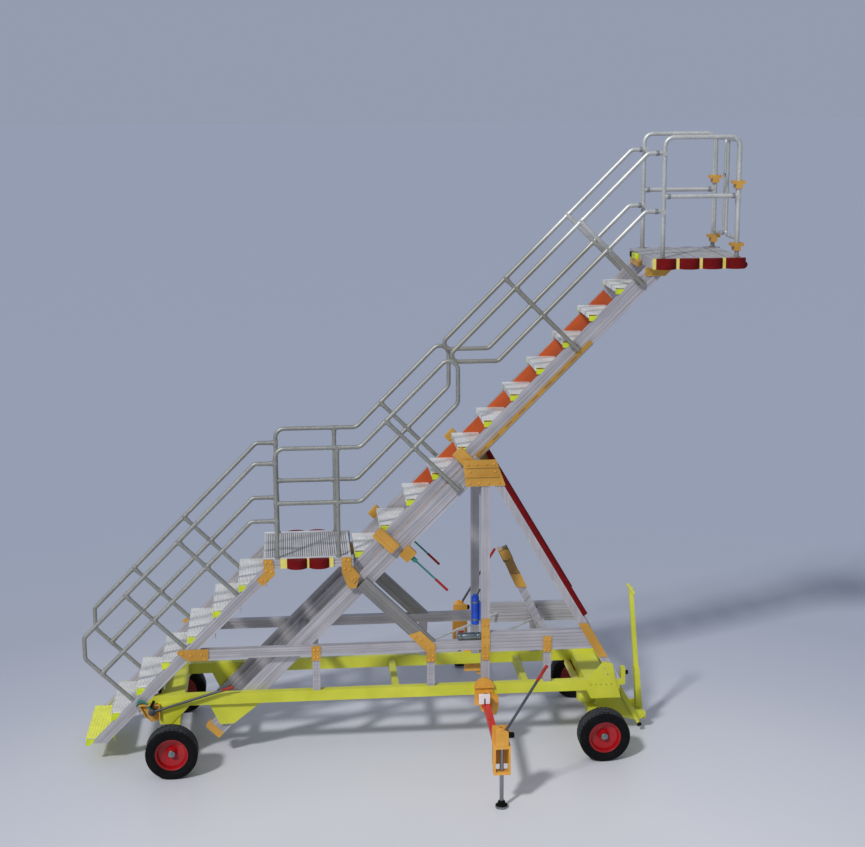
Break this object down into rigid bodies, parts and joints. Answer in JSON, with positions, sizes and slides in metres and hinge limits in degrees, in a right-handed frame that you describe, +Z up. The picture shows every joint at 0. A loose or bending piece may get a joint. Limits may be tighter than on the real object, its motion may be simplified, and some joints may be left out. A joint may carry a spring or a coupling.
{
  "type": "mobile aircraft access stairs",
  "caption": "Wheeled stairs for aircraft access: a lower flight and landing, and a 45 degree upper flight with a railed platform that slides along two guides.",
  "frame": {"origin": "floor level, at mid-length and on the symmetry plane of the stairs", "axes": "+X from the foot of the stairs to the platform, +Y to the left side, +Z up"},
  "size_m": [6.1762, 3.63, 5.777],
  "materials": {
    "yellow_paint": "semi-gloss yellow paint on welded steel",
    "aluminium_profile": "mill finish grooved aluminium section",
    "tread_metal": "ribbed bright aluminium",
    "tube_metal": "satin aluminium tube",
    "orange_joint": "satin orange paint on steel plate",
    "cheek_orange": "satin orange-red sheet",
    "gold_strip": "gold anodised perforated strip",
    "red_pad": "dark red rubber pad",
    "step_yellow": "yellow painted ribbed step",
    "red_rim": "red painted pressed steel rim",
    "tyre_rubber": "black rubber tyre",
    "pump_blue": "gloss blue paint",
    "arm_red": "red painted steel tube",
    "jack_orange": "orange painted welded steel",
    "screw_steel": "turned steel screw",
    "lever_teal": "teal painted rod",
    "deck_metal": "grey open-ribbed deck planks",
    "lime_cap": "gloss yellow-green painted steel",
    "pale_yellow": "matt pale yellow painted steel"
  },
  "bodies": {
    "chassis": {"chassis_frame": "yellow_paint", "rear_axle": "yellow_paint", "front_gussets": "yellow_paint", "guide_beams": "aluminium_profile", "guide_braces": "aluminium_profile", "tower_frame": "aluminium_profile", "level_rails": "aluminium_profile", "cheek_joints": "orange_joint", "slide_clamps": "orange_joint", "lock_levers": "lever_teal", "bumper_bars": "red_pad", "hand_pump": "pump_blue", "lower_stringers": "aluminium_profile", "lower_treads": "tread_metal", "bottom_step": "step_yellow", "landing_frame": "aluminium_profile", "landing_deck": "deck_metal", "landing_bumpers": "red_pad", "lift_strut": "aluminium_profile", "strut_collars": "orange_joint", "parking_brake": "orange_joint", "lower_tread_caps": "lime_cap", "landing_spacers": "pale_yellow", "landing_handrail_right": "tube_metal", "landing_handrail_left": "tube_metal", "outrigger_mounts": "jack_orange", "fixed_handrail_right": "tube_metal", "fixed_handrail_left": "tube_metal"},
    "sliding_flight": {"sliding_stringers": "aluminium_profile", "sliding_treads": "tread_metal", "cheek_panels": "cheek_orange", "rack_strips": "gold_strip", "platform_frame": "aluminium_profile", "platform_deck": "deck_metal", "platform_bumpers": "red_pad", "sliding_handrail_right": "tube_metal", "sliding_handrail_left": "tube_metal", "gate_clamps": "orange_joint", "sliding_tread_caps": "lime_cap", "platform_spacers": "pale_yellow", "platform_brackets": "orange_joint"},
    "gate_right": {"gate_leaf_right": "tube_metal"},
    "gate_left": {"gate_leaf_left": "tube_metal"},
    "steering_axle": {"front_axle": "yellow_paint"},
    "drawbar_body": {"drawbar": "yellow_paint"},
    "outrigger_right": {"outrigger_arm_right": "arm_red", "jack_frame_right": "jack_orange"},
    "screw_right": {"jack_screw_right": "screw_steel"},
    "outrigger_left": {"outrigger_arm_left": "arm_red", "jack_frame_left": "jack_orange"},
    "screw_left": {"jack_screw_left": "screw_steel"},
    "front_wheel_right": {"front_tyre_right": "tyre_rubber", "front_rim_right": "red_rim"},
    "front_wheel_left": {"front_tyre_left": "tyre_rubber", "front_rim_left": "red_rim"},
    "rear_wheel_right": {"rear_tyre_right": "tyre_rubber", "rear_rim_right": "red_rim"},
    "rear_wheel_left": {"rear_tyre_left": "tyre_rubber", "rear_rim_left": "red_rim"}
  },
  "joints": [
    {"name": "flight_slide", "type": "slide", "parent": "chassis", "child": "sliding_flight", "axis": [0.7071, 0, 0.7071], "range_m": [-1.697, 0]},
    {"name": "gate_right_hinge", "type": "hinge", "parent": "sliding_flight", "child": "gate_right", "pos_m": [2.98813, -0.388, 5.3], "axis": [0, 0, 1], "range_deg": [0, 90]},
    {"name": "gate_left_hinge", "type": "hinge", "parent": "sliding_flight", "child": "gate_left", "pos_m": [2.98813, 0.388, 5.3], "axis": [0, 0, -1], "range_deg": [0, 90]},
    {"name": "steering", "type": "hinge", "parent": "chassis", "child": "steering_axle", "pos_m": [1.75812, 0, 0.39], "axis": [0, 0, 1], "range_deg": [-30, 30]},
    {"name": "drawbar_hinge", "type": "hinge", "parent": "steering_axle", "child": "drawbar_body", "pos_m": [2.26812, 0, 0.15], "axis": [0, 1, 0], "range_deg": [0, 85]},
    {"name": "outrigger_right_swing", "type": "hinge", "parent": "chassis", "child": "outrigger_right", "pos_m": [0.66812, -0.6, 0.52], "axis": [0, 0, -1], "range_deg": [0, 90]},
    {"name": "jack_right_screw", "type": "slide", "parent": "outrigger_right", "child": "screw_right", "axis": [0, 0, 1], "range_m": [0, 0.25]},
    {"name": "outrigger_left_swing", "type": "hinge", "parent": "chassis", "child": "outrigger_left", "pos_m": [0.66812, 0.6, 0.52], "axis": [0, 0, 1], "range_deg": [0, 90]},
    {"name": "jack_left_screw", "type": "slide", "parent": "outrigger_left", "child": "screw_left", "axis": [0, 0, 1], "range_m": [0, 0.25]},
    {"name": "rear_wheel_right_spin", "type": "hinge", "parent": "chassis", "child": "rear_wheel_right", "pos_m": [-2.26187, -0.805, 0.24], "axis": [0, 1, 0], "continuous": true},
    {"name": "rear_wheel_left_spin", "type": "hinge", "parent": "chassis", "child": "rear_wheel_left", "pos_m": [-2.26187, 0.805, 0.24], "axis": [0, 1, 0], "continuous": true},
    {"name": "front_wheel_right_spin", "type": "hinge", "parent": "steering_axle", "child": "front_wheel_right", "pos_m": [1.75812, -0.805, 0.24], "axis": [0, 1, 0], "continuous": true},
    {"name": "front_wheel_left_spin", "type": "hinge", "parent": "steering_axle", "child": "front_wheel_left", "pos_m": [1.75812, 0.805, 0.24], "axis": [0, 1, 0], "continuous": true}
  ]
}
